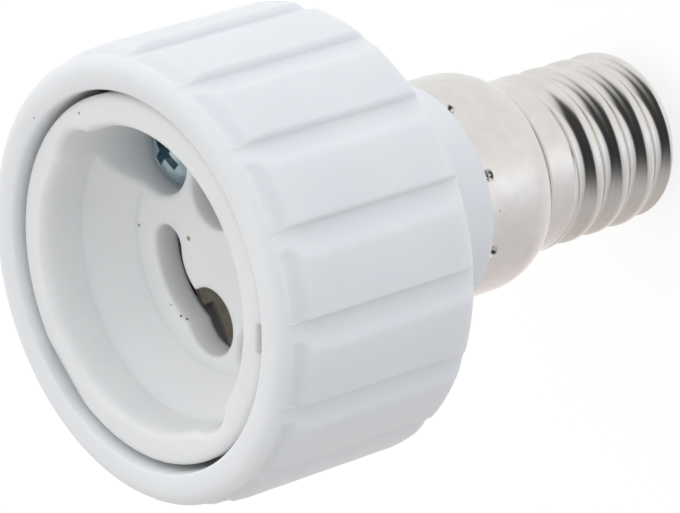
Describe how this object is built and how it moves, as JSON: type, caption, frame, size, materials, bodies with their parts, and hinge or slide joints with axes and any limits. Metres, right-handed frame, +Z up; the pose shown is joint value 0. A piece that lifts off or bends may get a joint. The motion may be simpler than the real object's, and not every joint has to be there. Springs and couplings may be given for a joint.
{
  "type": "lamp socket adapter",
  "caption": "Lamp socket adapter with a small screw cap at one end and a twist-and-lock pin socket in a ribbed round housing at the other.",
  "frame": {"origin": "lowest point of the solder dome on the centre contact, on the axis of the screw cap", "axes": "+Z along the axis, out of the socket's mouth; +X through the place where one lamp pin locks; right-handed with Z up"},
  "size_m": [0.0342, 0.0342, 0.0522],
  "materials": {
    "housing_plastic": "satin white moulding",
    "insert_plastic": "matt warm white moulding",
    "cover_plastic": "matt board",
    "contact_bronze": "plated spring bronze",
    "spring_steel": "bright spring steel",
    "rivet_brass": "tinned brass",
    "screw_zinc": "blue zinc",
    "cap_nickel": "bright nickel",
    "cap_glass": "black glass",
    "contact_metal": "tinned",
    "wire_copper": "tinned copper",
    "sleeve_live": "matt silicone",
    "sleeve_neutral": "matt silicone",
    "solder": "solder"
  },
  "bodies": {
    "root": {"housing": "housing_plastic", "socket_insert": "insert_plastic", "insert_cover": "cover_plastic", "contact_live": "contact_bronze", "contact_neutral": "contact_bronze", "backing_spring_live": "spring_steel", "backing_spring_neutral": "spring_steel", "rivet_live": "rivet_brass", "rivet_neutral": "rivet_brass", "insert_screw_a": "screw_zinc", "insert_screw_b": "screw_zinc", "screw_shell": "cap_nickel", "cap_insulator": "cap_glass", "centre_contact": "contact_metal", "live_conductor": "wire_copper", "live_sleeve": "sleeve_live", "neutral_conductor": "wire_copper", "neutral_sleeve": "sleeve_neutral", "solder_live_tail": "solder", "solder_neutral_tail": "solder", "solder_tip": "solder", "solder_shell": "solder"}
  },
  "joints": []
}
